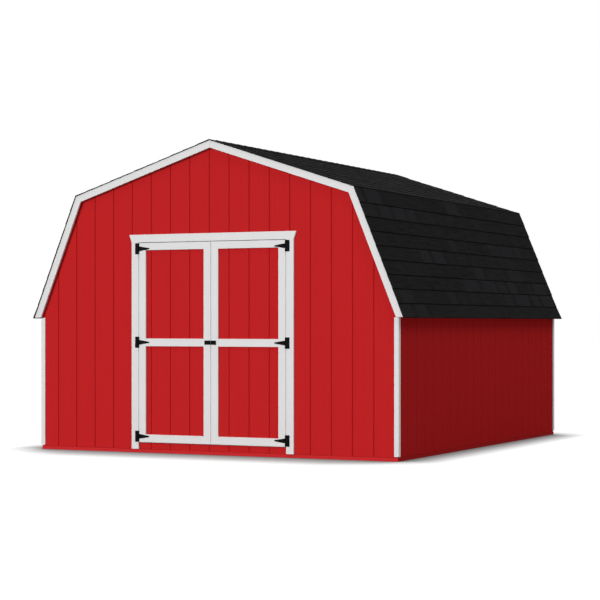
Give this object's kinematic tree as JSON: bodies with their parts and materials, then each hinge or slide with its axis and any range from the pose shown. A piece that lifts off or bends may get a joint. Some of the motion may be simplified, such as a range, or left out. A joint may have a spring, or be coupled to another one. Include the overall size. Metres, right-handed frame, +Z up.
{
  "type": "gambrel storage shed",
  "caption": "Wooden storage shed with a gambrel shingle roof, grooved red siding, white trim and a pair of side-hung doors.",
  "frame": {"origin": "on the ground at the middle of the footprint", "axes": "+X to the right seen from the door end, +Y from the door end to the back, +Z up"},
  "size_m": [3.8272, 4.3632, 2.8587],
  "materials": {
    "red_siding": "painted, rough sawn",
    "red_board": "painted, satin",
    "white_trim": "painted, satin",
    "blocking_paint": "painted, in shade",
    "roof_shingles": "mineral granules on asphalt",
    "black_iron": "black powder coat",
    "framing_lumber": "bare softwood",
    "plywood": "bare plywood",
    "roof_board": "bare strand board"
  },
  "bodies": {
    "shell": {"back_corner_trims": "white_trim", "back_fascia_lower": "white_trim", "back_fascia_upper": "white_trim", "back_frame": "framing_lumber", "back_rake_blocking": "blocking_paint", "back_wall": "red_siding", "base_boards": "red_board", "door_casings": "white_trim", "door_header_trim": "white_trim", "door_threshold": "framing_lumber", "eave_strips": "red_board", "floor_deck": "plywood", "floor_frame": "framing_lumber", "front_corner_trims": "white_trim", "front_fascia_lower": "white_trim", "front_fascia_upper": "white_trim", "front_frame_gable": "framing_lumber", "front_frame_left": "framing_lumber", "front_frame_right": "framing_lumber", "front_rake_blocking": "blocking_paint", "front_wall_gable": "red_siding", "front_wall_left": "red_siding", "front_wall_right": "red_siding", "front_wall_sill": "red_siding", "hinge_plates": "black_iron", "knuckle_gussets_left": "plywood", "knuckle_gussets_right": "plywood", "left_wall": "red_siding", "left_wall_frame": "framing_lumber", "rafters_lower_left": "framing_lumber", "rafters_lower_right": "framing_lumber", "rafters_upper_left": "framing_lumber", "rafters_upper_right": "framing_lumber", "ridge_cap": "roof_shingles", "ridge_gussets": "plywood", "right_wall": "red_siding", "right_wall_frame": "framing_lumber", "roof_deck_lower_left": "roof_board", "roof_deck_lower_right": "roof_board", "roof_deck_upper_left": "roof_board", "roof_deck_upper_right": "roof_board", "shingles_left": "roof_shingles", "shingles_right": "roof_shingles"},
    "left_door": {"door_left_frame": "framing_lumber", "door_left_hinge_straps": "black_iron", "door_left_latch": "black_iron", "door_left_panel": "red_siding", "door_left_rails": "white_trim", "door_left_stiles": "white_trim"},
    "right_door": {"door_right_frame": "framing_lumber", "door_right_hinge_straps": "black_iron", "door_right_latch": "black_iron", "door_right_panel": "red_siding", "door_right_rails": "white_trim", "door_right_stiles": "white_trim"}
  },
  "joints": [
    {"name": "left_door_hinge", "type": "hinge", "parent": "shell", "child": "left_door", "pos_m": [-0.758, -2.1556, 1.016], "axis": [0, 0, -1], "range_deg": [0, 170]},
    {"name": "right_door_hinge", "type": "hinge", "parent": "shell", "child": "right_door", "pos_m": [0.758, -2.1556, 1.016], "axis": [0, 0, 1], "range_deg": [0, 170]}
  ]
}
